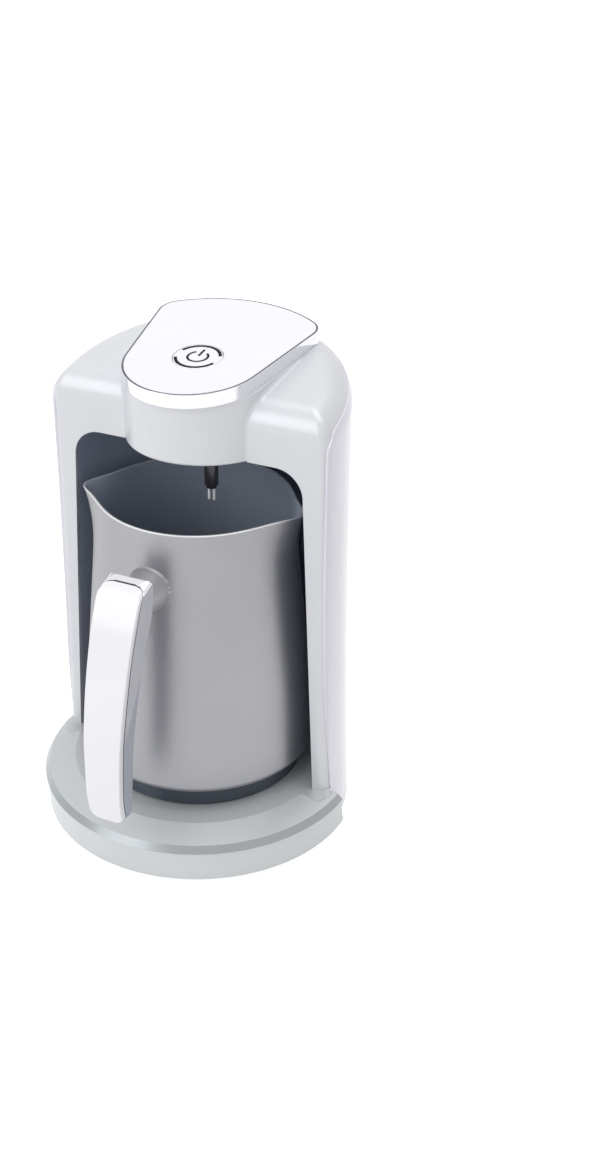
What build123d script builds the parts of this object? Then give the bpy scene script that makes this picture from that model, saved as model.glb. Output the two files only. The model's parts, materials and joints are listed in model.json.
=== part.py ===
from build123d import *
import math
import os

# Electric Turkish coffee maker: a round base with a heating plate, an arched housing with a tilted
# control panel, a rear cover, and a steel pot with two spouts and a long handle.
# Millimetres. +Z up, the front faces -Y, the origin is the centre of the base at the rest plane.

# ---------------------------------------------------------------- driving sizes
wall = 2.5                    # moulded shells
liner_wall = 2.0
gap = 0.3                     # between pieces that move past each other
seam = 0.1                    # between fixed pieces that lie side by side

foot_height = 0.6
foot_radius = 6.0
foot_circle = 50.0
bottom_thickness = 2.0

base_radius = 71.2
base_lip = 1.0                # the housing stands this far over the lower ring
base_lip_z = 14.5
chamfer_width = 2.0
chamfer_height = 3.1
platform_radius = 57.5
platform_z = 20.5
platform_thickness = 2.2
pad_front_y = -15.0           # level ground in front of the legs
pad_rounding = 4.5

body_foot_radius = 66.2
body_knee_radius = 64.6
body_knee_z = 60.0
body_waist_radius = 63.4
body_waist_z = 125.0
front_y = -9.0
corner_radius = 4.5
top_z = 197.0                 # top plane of the body above the origin
top_tilt = 14.0
top_rounding = 12.0

niche_foot_radius = 59.8
niche_head_radius = 52.7
niche_back_y = 54.0
niche_rounding = 12.0
head_z = 171.0                # underside of the head
head_plate_thickness = 2.0
ceiling_radius = 40.0

nose_radius = 33.0
nose_front_y = -24.0
nose_sweep = 68.0
nose_corner = (36.0, 43.0)
nose_rear = 57.0
blend_radius = 2.0

panel_z = 200.0               # bottom of the panel trim above the origin
panel_tilt = 8.0
trim_height = 6.0
trim_wall = 2.0
panel_front = -27.3
panel_nose_radius = 29.5
panel_sweep = 81.0
panel_corner = (37.2, 44.0)
panel_rear = 58.0
panel_corner_radius = 10.0
panel_thickness = 1.8
panel_rim = 0.8               # trim that shows round the panel

button_radius = 10.2
button_v = 4.6                # button centre, measured up the panel
button_thickness = 2.4
button_travel = 1.2
button_stem_radius = 2.6
button_flange = 1.4
icon_depth = 0.3
icon_ring_radius = 9.0
icon_width = 0.75
icon_gap = 20.0               # half of each break in the icon ring, degrees
power_radius = 4.3

board_drop = 13.0             # panel underside to board
board_thickness = 1.6
board_width = 44.0
board_front = -16.0           # board ends, measured from the button's centre
board_back = 30.0
board_margin = 4.5
switch_size = 6.2
switch_height = 3.4

probe_x = 9.0
probe_y = -3.5
probe_radius = 2.9
probe_end_z = 155.4
probe_tip_z = 148.3
probe_cone = 1.5
pin_radius = 0.55
pin_spacing = 2.3

plate_radius = 44.0
plate_rise = 0.5              # heating plate above the platform
plate_thickness = 4.0
plate_flange = 5.0
flange_thickness = 1.5
retainer_thickness = 2.0
retainer_width = 10.0
retainer_circle = 51.7
element_circle = 30.0
element_radius = 3.2
element_gap = 30.0            # half of the ring's open part, degrees
pin_end_radius = 1.4
thermostat_radius = 8.0
bracket_thickness = 1.5

pot_x = -0.3
pot_y = 0.3
pot_bottom_radius = 50.6
pot_bottom_z = 29.7
pot_rim_radius = 39.6
pot_rim_z = 147.6
pot_wall = 1.2
pot_floor = 2.0
pot_heel = 3.0
pot_sections = 14             # even steps up the wall, so that the form stays smooth
spout_angles = (1.5, 194.0)   # round from +X; the handle is at 270
spout_reach = 6.6             # lip beyond the ridge
spout_depth = 30.0
spout_half_angle = 13.0
spout_curl = 2.2              # how suddenly the lip turns out
ridge_reach = 2.8             # the wall's swell below each spout
ridge_half_angle = 26.0
ridge_rise = 0.4              # share of the height over which the swell grows
pot_foot_radius = 45.6
pot_foot_width = 4.0

handle_width = 18.2
handle_rounding = 2.6
cover_depth = 2.8
boss_z = 122.5
boss_root_radius = 10.0
boss_radius = 6.8
screw_radius = 1.9
screw_head_radius = 3.6

gland_z = 11.0
gland_radius = 5.0
gland_flange_radius = 7.0
gland_bore_radius = 3.3
wire_radius = 1.1
wire_spread = 9.0

# ---------------------------------------------------------------- derived sizes
bottom_z = foot_height
bottom_top = bottom_z + bottom_thickness
plate_top = platform_z + plate_rise
plate_under = plate_top - plate_thickness
flange_under = plate_under - flange_thickness
platform_under = platform_z - platform_thickness
pot_foot_z = plate_top + gap
body_cap = top_z + 31.0
cover_proud = 0.6
cover_drop = 7.0              # cover edge below the body's top plane
cover_rounding = 10.0


def tilted(height, degrees):
    """Plane through (0, 0, height) that rises towards the back."""
    a = math.radians(degrees)
    return Plane(origin=(0, 0, height), x_dir=(1, 0, 0), z_dir=(0, -math.sin(a), math.cos(a)))


def panel_plane(above=0.0):
    """The panel trim's bottom plane, moved along its normal."""
    return tilted(panel_z, panel_tilt).offset(above)


def cylinder(radius, low, high, x=0.0, y=0.0):
    return Pos(x, y, low) * Cylinder(radius, high - low, align=(Align.CENTER, Align.CENTER, Align.MIN))


def ring(outer, inner, low, high):
    return cylinder(outer, low, high) - cylinder(inner, low - 1, high + 1)


def block(low, high):
    size = [b - a for a, b in zip(low, high)]
    return Pos(*low) * Box(*size, align=(Align.MIN, Align.MIN, Align.MIN))


def turned(points):
    """Solid of revolution of a closed polygon of (radius, height)."""
    return revolve(Plane.XZ * make_face(Polyline(*points, close=True)), Axis.Z)


def above(shape, height):
    return split(shape, bisect_by=Plane.XY.offset(height), keep=Keep.TOP) if height > 0 else shape


# ---------------------------------------------------------------- the body's form
def body_blank(inset):
    """The body as a round tower, with its seam at the front, where it is cut away."""
    rim = (body_waist_radius - inset, body_cap)
    foot = (body_foot_radius - inset, 0)
    side = Spline(
        foot,
        (body_knee_radius - inset, body_knee_z),
        (body_waist_radius - inset, body_waist_z),
        rim,
        tangents=((-0.04, 1), (0, 1)),
    )
    outline = side + Polyline(rim, (0, body_cap), (0, 0), foot)
    return Rot(0, 0, -90) * revolve(Plane.XZ * make_face(outline), Axis.Z)


def body_form(inset, low=0.0):
    """Tower cut by the front plane and the tilted top plane, all three blended together."""
    solid = body_blank(inset)
    front = front_y + inset
    solid = split(solid, bisect_by=Plane(origin=(0, front, 0), z_dir=(0, 1, 0)), keep=Keep.TOP)
    drop = inset / math.cos(math.radians(top_tilt))
    solid = split(solid, bisect_by=tilted(top_z - drop, top_tilt), keep=Keep.BOTTOM)
    high = top_z - 20
    solid = fillet(solid.edges().filter_by(lambda e: e.center().Z > high), top_rounding - inset)
    if inset > 0:
        return above(solid, low)
    corners = solid.edges().filter_by(
        lambda e: abs(e.center().Y - front) < 6 and e.length > 8
        and abs(e.center().X) > 40 and e.center().Z > 1
    )
    return above(fillet(corners, corner_radius), low)


def tongue(front, radius, sweep, corner, rear, grow):
    """Tongue-shaped face: a round front, straight sides that spread, and a bowed rear edge."""
    a = math.radians(sweep)
    right = (radius * math.sin(a), front + radius - radius * math.cos(a))
    left = (-right[0], right[1])
    far_left = (-corner[0], corner[1])
    outline = ThreePointArc(left, (0, front), right) + Line(right, corner)
    outline += ThreePointArc(corner, (0, rear), far_left) + Line(far_left, left)
    face = make_face(outline)
    face = fillet(face.vertices().filter_by(lambda v: v.Y > corner[1] - 1), panel_corner_radius)
    return offset(face, amount=grow, kind=Kind.ARC) if grow else face


def panel_face(grow=0.0):
    return tongue(panel_front, panel_nose_radius, panel_sweep, panel_corner, panel_rear, grow)


def nose_face(grow=0.0):
    return tongue(nose_front_y, nose_radius, nose_sweep, nose_corner, nose_rear, grow)


def nose_form(inset, low):
    """The head's nose, from its underside up to the panel trim."""
    low_face = Plane.XY.offset(low) * nose_face(-inset)
    block_up = extrude(low_face, 60)
    return split(block_up, bisect_by=panel_plane(-inset), keep=Keep.BOTTOM)


def niche_profile(extra):
    """Half profile of the niche, grown by a wall."""
    foot = (niche_foot_radius + extra, platform_z)
    head = (niche_head_radius + extra, head_z + extra)
    face = make_face(Polyline((0, platform_z), foot, head, (0, head_z + extra), close=True))
    corner = face.vertices().filter_by(lambda v: v.X > 10 and v.Y > platform_z + 10)
    return fillet(corner, niche_rounding + extra)


def niche_form(extra=0.0):
    """The space that the pot stands in: a tapering round room with a flat back."""
    room = Rot(0, 0, 90) * revolve(Plane.XZ * niche_profile(extra), Axis.Z)
    return split(room, bisect_by=Plane(origin=(0, niche_back_y + extra, 0), z_dir=(0, 1, 0)), keep=Keep.BOTTOM)


def cover_zone(inset):
    """Space behind the cover's front edge and below its top edge, seen from the side."""
    slope = math.tan(math.radians(top_tilt))
    far = 90.0
    edge = [(1.0, bottom_z), (-4.8, 22.0), (-7.6, 60.0), (-8.1, 95.0)]
    top_y = -8.1
    top_edge_z = top_z - cover_drop + slope * top_y
    points = [(y + inset, z) for y, z in edge]
    points += [(top_y + inset, top_edge_z - inset), (far, top_edge_z - inset + slope * (far - top_y))]
    points += [(far, bottom_z)]
    face = make_face(Polyline(*points, close=True))
    corner = face.vertices().filter_by(lambda v: v.X < 0 and v.Y > 150)
    face = fillet(corner, cover_rounding)
    zone = extrude(Plane.YZ * face, 90, both=True)
    front = 60.8 + inset
    return zone - block((-front, front_y - 5, 0), (front, front_y + wall + seam, body_cap))


# ---------------------------------------------------------------- housing and covers
def base_form():
    """Round base with a sloped band, a chamfer and a flat platform."""
    chamfer_z = base_lip_z + chamfer_height
    return turned([
        (0, base_lip_z),
        (base_radius, base_lip_z),
        (base_radius - chamfer_width, chamfer_z),
        (platform_radius, platform_z),
        (0, platform_z),
    ])


def base_hollow():
    chamfer_z = base_lip_z + chamfer_height
    return turned([
        (0, bottom_z),
        (base_radius - wall, bottom_z),
        (base_radius - wall, base_lip_z),
        (base_radius - chamfer_width - wall, chamfer_z - wall),
        (platform_radius - 1, platform_under),
        (0, platform_under),
    ])


def foot_pads():
    """Level ground in front of each leg, where the band stops with a rounded corner."""
    pad = cylinder(body_foot_radius + 0.4, base_lip_z, platform_z)
    pad = pad & block((-80, pad_front_y, 0), (80, 8, 40))
    corners = pad.edges().filter_by(Axis.Z).filter_by(lambda e: e.center().Y < pad_front_y + 1)
    return fillet(corners, pad_rounding)


boss_places = [(sx * 42.4, sy * 42.4) for sx in (-1, 1) for sy in (-1, 1)]
cover_boss_places = [(sx * 29.2, 50.7) for sx in (-1, 1)]
retainer_places = [
    (retainer_circle * math.cos(math.radians(a)), retainer_circle * math.sin(math.radians(a)))
    for a in (90, 210, 330)
]
boss_size = 3.2
pilot_radius = 1.2


def make_housing():
    shape = body_form(0, base_lip_z)
    shape += nose_form(0, head_z)
    shape = fillet(nose_blend_edges(shape), blend_radius)
    shape += base_form() + foot_pads()
    shape -= base_hollow()
    shape -= niche_form()
    shape -= body_form(wall, platform_z)
    shape -= nose_form(wall, head_z)
    shape -= extrude(panel_plane(-2 * wall) * panel_face(-2 * wall), 20)
    shape -= extrude(panel_plane() * panel_face(seam), 30)
    shape -= cylinder(plate_radius + gap, 0, platform_z + 1)
    shape -= cover_zone(0) - body_form(wall)
    shape -= block((-14, niche_back_y + liner_wall + 0.5, 0), (14, 64.5, platform_z + 1))
    for x, y in boss_places:
        shape += cylinder(boss_size, bottom_top, platform_under, x, y)
        shape -= cylinder(pilot_radius, bottom_top - 1, platform_under - 3, x, y)
    for x, y in retainer_places:
        shape += cylinder(boss_size, flange_under, platform_under, x, y)
        shape -= cylinder(pilot_radius, flange_under - 1, platform_under - 0.5, x, y)
    return shape


def nose_blend_edges(shape):
    """Edges of the inner corner between the nose and the body."""
    found = []
    for edge in shape.edges():
        c = edge.center()
        inside = 172 < c.Z < 203 and 24 < abs(c.X) < 33.5 and front_y - 0.5 < c.Y < 16
        if not inside or edge.length < 6.6:
            continue
        on_panel = abs((c - Vector(0, 0, panel_z)).dot(panel_plane().z_dir)) < 0.3
        if not on_panel:
            found.append(edge)
    return found


def make_rear_cover():
    shape = body_form(-cover_proud, bottom_z) - body_form(wall - seam)
    shape &= cover_zone(seam)
    for x, y in cover_boss_places:
        rib = block((x - 1, y, bottom_top), (x + 1, y + 5.5, 12))
        shape += cylinder(boss_size, bottom_top, 12, x, y) + (rib & cylinder(body_foot_radius, 0, 30))
        shape -= cylinder(pilot_radius, bottom_top - 1, 10, x, y)
    bore = Pos(0, 60, gland_z) * Rot(-90, 0, 0) * Cylinder(gland_radius + seam, 20)
    return shape - bore


def make_niche_liner():
    shape = niche_form(liner_wall) - niche_form()
    front = front_y + wall + seam
    shape = split(shape, bisect_by=Plane(origin=(0, front, 0), z_dir=(0, 1, 0)), keep=Keep.TOP)
    return shape - cylinder(ceiling_radius, head_z - 1, head_z + 10)


def make_head_plate():
    """Plate that closes the nose and the niche's ceiling from below, with a hole for the probe."""
    inner = nose_face(-wall - seam) & Pos(0, -50) * Rectangle(200, 100)
    disc = Circle(ceiling_radius - seam) & Pos(0, 100 + front_y + wall + seam) * Rectangle(200, 200)
    face = inner + disc
    plate = extrude(Plane.XY.offset(head_z) * face, head_plate_thickness)
    return plate - cylinder(probe_radius + seam, head_z - 1, head_z + 5, probe_x, probe_y)


def make_base_ring():
    outer = base_radius - base_lip
    inner = outer - 2.2
    shape = ring(outer, inner, bottom_z, base_lip_z) + ring(inner + 0.5, 64.0, bottom_top, bottom_top + 1.5)
    return shape - (cover_zone(0) - body_form(wall))


def make_bottom_plate():
    shape = cylinder(base_radius - base_lip - 2.2 - seam, bottom_z, bottom_top)
    shape -= cover_zone(-seam) - body_form(wall + seam, 0)
    for x, y in boss_places + cover_boss_places:
        shape -= cylinder(1.7, 0, 10, x, y)
        shape -= cylinder(3.0, 0, bottom_z + 1.0, x, y)
    for x, y in foot_places():
        shape -= cylinder(2.6, 0, 10, x, y)
    return shape


def foot_places():
    """One foot in the middle and four round it."""
    round_the_edge = [
        (foot_circle * math.cos(math.radians(a)), foot_circle * math.sin(math.radians(a)))
        for a in (0, 90, 180, 270)
    ]
    return [(0, 0)] + round_the_edge


def make_rubber_feet():
    feet = []
    for x, y in foot_places():
        foot = cylinder(foot_radius, 0, bottom_z, x, y) + cylinder(2.5, 0, bottom_top + 1, x, y)
        feet.append(foot)
    return feet


def screw(x, y, low, high, head_radius=2.8, head=1.0, shank=1.15):
    """Screw with its head at the bottom."""
    body = cylinder(head_radius, low, low + head, x, y) + cylinder(shank, low, high, x, y)
    slot = block((x - head_radius, y - 0.4, low - 1), (x + head_radius, y + 0.4, low + head / 2))
    return body - slot


def make_base_screws():
    return [screw(x, y, bottom_z, platform_under - 3.5) for x, y in boss_places]


def make_cover_screws():
    return [screw(x, y, bottom_z, 9.5) for x, y in cover_boss_places]


# ---------------------------------------------------------------- heater
def make_heating_plate():
    shape = cylinder(plate_radius, plate_under, plate_top)
    shape = fillet(shape.edges().group_by(Axis.Z)[-1], 0.8)
    shape += cylinder(plate_radius + plate_flange - 1, flange_under, plate_under)
    for x in (-14, 14):
        shape -= cylinder(1.6, flange_under - 1, plate_top - 1.5, x, 0)
    return shape


def make_plate_gasket():
    return ring(plate_radius + plate_flange - 1, plate_radius + seam, plate_under, platform_under)


def make_plate_retainer():
    outer = plate_radius + 2 + retainer_width
    shape = ring(outer, plate_radius + 2, flange_under - retainer_thickness, flange_under)
    for x, y in retainer_places:
        shape -= cylinder(1.5, 0, 30, x, y)
    for x, y in cover_boss_places:
        shape -= cylinder(boss_size + seam, 0, 30, x, y)
    return shape


def make_retainer_screws():
    low = flange_under - retainer_thickness - 1.0
    return [screw(x, y, low, platform_under - 1.2) for x, y in retainer_places]


def make_heating_element():
    """Tube bent to an open ring under the plate, with a pin at each end."""
    z = flange_under - element_radius
    path = CenterArc((0, 0, z), element_circle, 90 + element_gap, 360 - 2 * element_gap)
    tube = sweep(Plane(origin=path @ 0, z_dir=path % 0) * Circle(element_radius), path=path)
    for x, y in element_ends():
        tube += cylinder(pin_end_radius, z - 7, z, x, y)
    return tube


def element_ends():
    a = math.radians(90 - element_gap)
    return [(s * element_circle * math.cos(a), element_circle * math.sin(a)) for s in (-1, 1)]


def make_thermostat():
    low = flange_under - 2 * element_radius
    shape = cylinder(thermostat_radius, low, flange_under)
    for y in (-5, 5):
        shape += block((-1.6, y - 0.4, low - 4.5), (1.6, y + 0.4, low))
    return shape


def make_element_bracket():
    high = flange_under - 2 * element_radius
    shape = block((-34, -4, high - bracket_thickness), (34, 4, high))
    for x in (-14, 14):
        shape -= cylinder(1.6, 0, 30, x, 0)
    return shape


def make_bracket_screws():
    low = flange_under - 2 * element_radius - bracket_thickness - 1.0
    return [screw(x, 0, low, plate_top - 2.0, shank=1.5) for x in (-14, 14)]


def make_supply_wires():
    """Two wires from the heater, along the base and up behind the liner to the board."""
    wires = []
    low = 6.5
    up_y = 59.0
    for (end_x, end_y), x in zip(element_ends(), (-wire_spread, wire_spread)):
        start = (end_x, end_y + pin_end_radius, low)
        points = [start, (end_x, 46, low), (x, up_y, low), (x, up_y, 180), (x, 31, 186), (x, 31, 193.5)]
        path = FilletPolyline(*points, radius=2.5)
        wires.append(sweep(Plane(origin=path @ 0, z_dir=path % 0) * Circle(wire_radius), path=path))
    return wires


def make_cord_gland():
    """Bush for the supply cord, through the rear cover."""
    wall_out = body_foot_radius + cover_proud + gap
    wall_in = body_foot_radius - wall - 1.5
    along = Pos(0, 0, gland_z) * Rot(-90, 0, 0)
    shape = along * cylinder(gland_radius, wall_in - 2.5, wall_out + 1)
    shape += along * cylinder(gland_flange_radius, wall_out, wall_out + 2)
    shape += along * cylinder(gland_flange_radius - 0.5, wall_in - 2.5, wall_in)
    return shape - along * cylinder(gland_bore_radius, wall_in - 5, wall_out + 5)


# ---------------------------------------------------------------- control panel
def make_panel_trim():
    outer = panel_face()
    shape = extrude(panel_plane() * outer, trim_height)
    shape -= extrude(panel_plane(-1) * panel_face(-trim_wall - 1.5), trim_height + 2)
    rebate = panel_face(-panel_rim)
    shape -= extrude(panel_plane(trim_height - panel_thickness) * rebate, 5)
    shape -= extrude(panel_plane(-1) * panel_face(-trim_wall), trim_height - panel_thickness - 0.8)
    return shape


def at_button(above):
    """Plane parallel to the panel at the button's centre."""
    plane = panel_plane(above)
    return Plane(origin=plane.from_local_coords((0, button_v, 0)), x_dir=plane.x_dir, z_dir=plane.z_dir)


def on_panel(shape, above):
    return at_button(above) * shape


def post_places():
    x = board_width / 2 - board_margin
    ends = (board_front + board_margin, board_back - board_margin)
    return [(sx * x, button_v + y) for sx in (-1, 1) for y in ends]


def make_top_panel():
    face = panel_face(-panel_rim - seam)
    shape = extrude(panel_plane(trim_height - panel_thickness) * face, panel_thickness)
    shape -= on_panel(Cylinder(button_radius + gap, 10), trim_height)
    under = trim_height - panel_thickness
    for x, y in post_places():
        post = Cylinder(2.4, board_drop, align=(Align.CENTER, Align.CENTER, Align.MAX))
        pilot = Cylinder(0.9, 8, align=(Align.CENTER, Align.CENTER, Align.MIN))
        shape += panel_plane(under) * Pos(x, y, 0) * post
        shape -= panel_plane(under - board_drop) * Pos(x, y, -1) * pilot
    return shape


def icon_shapes(height):
    """Power sign and broken ring, drawn round the button's centre."""
    mark = []
    for start in (icon_gap, 180 + icon_gap):
        sweep_angle = 180 - 2 * icon_gap
        mark.append(arc_band(icon_ring_radius, icon_width, start, sweep_angle, height))
    mark.append(arc_band(power_radius, icon_width, 125, 290, height))
    bar = Box(icon_width, 4.4, height, align=(Align.CENTER, Align.MIN, Align.MIN))
    mark.append(Pos(0, 1.3, 0) * bar)
    return mark


def arc_band(radius, width, start, sweep_angle, height):
    """Flat band along an arc, with its ends cut square."""
    steps = [math.radians(start + sweep_angle * k / 2) for k in range(3)]
    outer = [((radius + width / 2) * math.cos(a), (radius + width / 2) * math.sin(a)) for a in steps]
    inner = [((radius - width / 2) * math.cos(a), (radius - width / 2) * math.sin(a)) for a in steps]
    outline = ThreePointArc(*outer) + Line(outer[2], inner[2])
    outline += ThreePointArc(*reversed(inner)) + Line(inner[0], outer[0])
    return extrude(make_face(outline), height)


def make_power_button():
    top = trim_height
    cap = Cylinder(button_radius, button_thickness, align=(Align.CENTER, Align.CENTER, Align.MAX))
    cap = fillet(cap.edges().group_by(Axis.Z)[-1], 0.35)
    low = -button_thickness
    flange = Pos(0, 0, low) * Cylinder(
        button_radius + 2, button_flange, align=(Align.CENTER, Align.CENTER, Align.MAX))
    stem_length = board_drop + panel_thickness - switch_height - button_travel - gap
    stem = Cylinder(button_stem_radius, stem_length, align=(Align.CENTER, Align.CENTER, Align.MAX))
    shape = cap + flange + stem
    for piece in icon_shapes(icon_depth + 1):
        shape -= Pos(0, 0, -icon_depth) * piece
    return on_panel(shape, top)


def make_button_icon():
    return [on_panel(piece, trim_height - icon_depth) for piece in icon_shapes(icon_depth)]


def make_light_guide():
    """Clear ring under the panel that lights the gap round the button."""
    under = trim_height - panel_thickness
    outer = Cylinder(button_radius + 5, 2.2, align=(Align.CENTER, Align.CENTER, Align.MAX))
    return on_panel(outer - Cylinder(button_radius + 2 + gap, 10), under)


def board_top():
    return trim_height - panel_thickness - board_drop


def make_control_board():
    half = board_width / 2
    board = block((-half, board_front, -board_thickness), (half, board_back, 0))
    board = fillet(board.edges().filter_by(Axis.Z), 2.0)
    shape = on_panel(board, board_top())
    for x, y in post_places():
        shape -= panel_plane(board_top()) * Pos(x, y, 0) * Cylinder(1.2, 10)
    return shape


def make_button_switch():
    base = Box(switch_size, switch_size, switch_height - 0.8, align=(Align.CENTER, Align.CENTER, Align.MIN))
    knob = Cylinder(1.7, switch_height, align=(Align.CENTER, Align.CENTER, Align.MIN))
    return on_panel(base + knob, board_top())


def make_board_parts():
    """Relay, capacitor and buzzer on the board."""
    low = Align.CENTER, Align.CENTER, Align.MIN
    relay = Pos(-11, 17, 0) * Box(15, 10, 9, align=low)
    capacitor = Pos(12, 17, 0) * Cylinder(4, 9, align=low)
    buzzer = Pos(0, -10, 0) * Cylinder(4.5, 5, align=low)
    return [on_panel(piece, board_top()) for piece in (relay, capacitor, buzzer)]


def make_board_screws():
    low = board_top() - board_thickness
    screws = []
    for x, y in post_places():
        head = Pos(x, y, -1.2) * Cylinder(2.0, 1.2, align=(Align.CENTER, Align.CENTER, Align.MIN))
        shank = Pos(x, y, -1.2) * Cylinder(0.85, 7.0, align=(Align.CENTER, Align.CENTER, Align.MIN))
        screws.append(panel_plane(low) * (head + shank))
    return screws


# ---------------------------------------------------------------- overflow probe
def pin_places():
    return [(probe_x + s * pin_spacing / 2, probe_y) for s in (-1, 1)]


def make_probe_sheath():
    top = head_z + head_plate_thickness
    shape = cylinder(probe_radius, probe_end_z, top + 9, probe_x, probe_y)
    cone = Cone(probe_radius - 0.9, probe_radius, probe_cone, align=(Align.CENTER, Align.CENTER, Align.MAX))
    shape += Pos(probe_x, probe_y, probe_end_z) * cone
    for x, y in pin_places():
        shape -= cylinder(pin_radius, 0, top + 20, x, y)
    return shape


def make_probe_pins():
    top = head_z + head_plate_thickness + 12
    pins = []
    for x, y in pin_places():
        pin = cylinder(pin_radius, probe_tip_z, top, x, y)
        pins.append(fillet(pin.edges().group_by(Axis.Z)[0], 0.25))
    return pins


def make_probe_nut():
    top = head_z + head_plate_thickness
    nut = extrude(Plane.XY.offset(top) * Pos(probe_x, probe_y) * RegularPolygon(5.2, 6), 3.5)
    return nut - cylinder(probe_radius, 0, top + 10, probe_x, probe_y)


# ---------------------------------------------------------------- pot
def hump(angle, half_angle):
    """1 at a spout's angle, falling off on each side."""
    off = min(abs((angle - spout + 180) % 360 - 180) for spout in spout_angles)
    return 1 / (1 + (off / half_angle) ** 2) ** 1.5


def section_angles():
    """Angles of a section's points, closer together near the spouts."""
    steps = (0, 4, 9, 16, 26, 40, 60)
    angles = {(spout + side * step) % 360 for spout in spout_angles for step in steps for side in (-1, 1)}
    middle = sum(spout_angles) / 2
    return sorted(angles | {middle, middle + 180})


def pot_section(z, inset):
    """Closed curve round the pot at one height."""
    share = (z - pot_bottom_z) / (pot_rim_z - pot_bottom_z)
    plain = pot_bottom_radius + (pot_rim_radius - pot_bottom_radius) * share - inset
    lift = spout_reach * max(0.0, (z - pot_rim_z + spout_depth) / spout_depth) ** spout_curl
    swell = ridge_reach * math.sin(math.pi / 2 * min(1.0, share / ridge_rise))
    points = []
    for angle in section_angles():
        r = plain + lift * hump(angle, spout_half_angle) + swell * hump(angle, ridge_half_angle)
        a = math.radians(angle)
        points.append((r * math.cos(a), r * math.sin(a)))
    return Plane.XY.offset(z) * make_face(Spline(*points, periodic=True))


def vessel(inset, low, heel):
    """Tapering vessel that opens out into two spouts, with a rounded heel."""
    step = (pot_rim_z - low) / pot_sections
    shape = loft([pot_section(low + step * k, inset) for k in range(pot_sections + 1)])
    return fillet(shape.edges().group_by(Axis.Z)[0], heel)


def place_pot(shape):
    return Pos(pot_x, pot_y, 0) * shape


def pot_outer():
    return vessel(0, pot_bottom_z, pot_heel)


def make_pot_body():
    return pot_outer() - vessel(pot_wall, pot_bottom_z + pot_floor, pot_heel - pot_wall)


def make_pot_foot():
    return ring(pot_foot_radius, pot_foot_radius - pot_foot_width, pot_foot_z, pot_bottom_z)


def make_pot_base_disc():
    return cylinder(pot_foot_radius - pot_foot_width - seam, pot_foot_z, pot_bottom_z)


def handle_side():
    """Side outline of the handle: (distance in front of the pot axis, height)."""
    front = Spline(
        (-60.0, 136.0), (-66.0, 130.0), (-72.3, 116.0), (-79.6, 92.0), (-83.8, 69.0), (-84.9, 50.0), (-83.0, 36.5),
    )
    back = Spline((-74.6, 34.6), (-74.4, 45.0), (-71.8, 73.0), (-66.0, 95.0), (-55.6, 118.0), (-54.0, 131.5))
    low_end = ThreePointArc(front @ 1, (-78.8, 31.4), back @ 0)
    high_end = ThreePointArc(back @ 1, (-56.0, 135.5), front @ 0)
    return make_face(front + low_end + back + high_end)


def handle_form():
    shape = extrude(Plane.YZ * handle_side(), handle_width / 2, both=True)
    return fillet(shape.edges().filter_by(lambda e: abs(abs(e.center().X) - handle_width / 2) < 0.1), handle_rounding)


def handle_face_zone():
    """Space of the handle's front cover."""
    front = Spline(
        (-57.5, 141.0), (-66.0 + cover_depth, 129.0), (-72.3 + cover_depth, 115.0), (-79.6 + cover_depth, 91.0),
        (-83.8 + cover_depth, 69.0), (-84.9 + cover_depth, 50.0), (-82.0, 36.5), (-80.0, 25.0),
    )
    outline = front + Polyline(front @ 1, (-100, 25), (-100, 141), front @ 0)
    return extrude(Plane.YZ * make_face(outline), handle_width, both=True)


def handle_low_zone():
    """Space below the slanted joint between the handle's frame and its grip."""
    joint = [(-40, 99.0), (-65.0, 99.0), (-73.5, 88.0), (-84.0, 62.0), (-100, 58)]
    outline = Polyline(*joint, (-100, 0), (-40, 0), close=True)
    return extrude(Plane.YZ * make_face(outline), handle_width, both=True)


def handle_cut(radius, start, end):
    """Round bar along the handle's screw."""
    along = Pos(0, 0, boss_z) * Rot(90, 0, 0)
    return along * cylinder(radius, -end, -start)


screw_seat = -62.0


def make_handle_cover():
    return handle_form() & handle_face_zone()


def make_handle_frame():
    shape = handle_form() - handle_face_zone() - handle_low_zone()
    shape -= handle_cut(screw_radius + seam, -80, -40)
    return shape - handle_cut(screw_head_radius + 0.4, -80, screw_seat)


def make_handle_grip():
    return (handle_form() - handle_face_zone()) & handle_low_zone()


def make_handle_boss():
    along = Pos(0, 0, boss_z) * Rot(90, 0, 0)
    root = 40.0
    tip = 56.5
    cone = Cone(boss_root_radius, boss_radius, tip - root, align=(Align.CENTER, Align.CENTER, Align.MIN))
    shape = along * Pos(0, 0, root) * cone
    shape -= pot_outer()
    shape -= handle_form()
    return shape - handle_cut(screw_radius, -70, -46)


def make_handle_screw():
    return handle_cut(screw_radius - 0.05, -63, -47) + handle_cut(screw_head_radius, screw_seat - 2.4, screw_seat)


# ---------------------------------------------------------------- write every node
pot_nodes = {
    "pot_body": make_pot_body,
    "pot_foot": make_pot_foot,
    "pot_base_disc": make_pot_base_disc,
    "handle_boss": make_handle_boss,
    "handle_frame": make_handle_frame,
    "handle_grip": make_handle_grip,
    "handle_cover": make_handle_cover,
    "handle_screw": make_handle_screw,
}

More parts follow.
